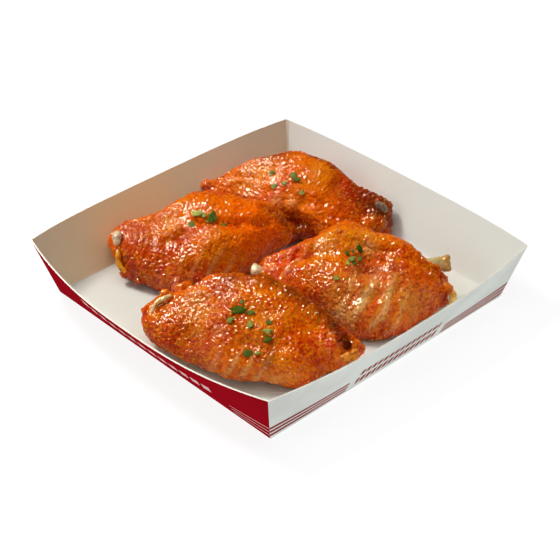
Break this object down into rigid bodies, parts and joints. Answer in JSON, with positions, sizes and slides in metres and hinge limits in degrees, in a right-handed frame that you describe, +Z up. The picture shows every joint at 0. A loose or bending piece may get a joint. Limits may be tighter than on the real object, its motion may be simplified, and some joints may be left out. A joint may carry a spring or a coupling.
{
  "type": "chicken wings serving",
  "caption": "Glazed chicken wing flats with chopped herbs, lying in a square paperboard tray with bowed, outward-leaning walls.",
  "frame": {"origin": "middle of the tray's square underside, on the surface it stands on", "axes": "+Z up; X and Y along the sides of the tray's base, the two near walls being the -X and -Y ones"},
  "size_m": [0.1577, 0.1567, 0.0299],
  "materials": {
    "paperboard": "uncoated white paperboard, crimson print on the outside of the walls",
    "glazed_skin": "roast chicken skin under a glossy orange-red glaze",
    "bone_and_gristle": "bare bone end and gristle"
  },
  "bodies": {
    "root": {"tray": "paperboard", "wing_front": "glazed_skin", "wing_left": "glazed_skin", "wing_right": "glazed_skin", "wing_back": "glazed_skin", "bone_front_elbow": "bone_and_gristle", "bone_front_knob": "bone_and_gristle", "bone_front_wrist": "bone_and_gristle", "bone_left_elbow": "bone_and_gristle", "bone_left_tendon": "bone_and_gristle", "bone_right_wrist": "bone_and_gristle", "bone_right_elbow": "bone_and_gristle", "bone_right_tendon": "bone_and_gristle", "bone_back_elbow": "bone_and_gristle"}
  },
  "joints": []
}
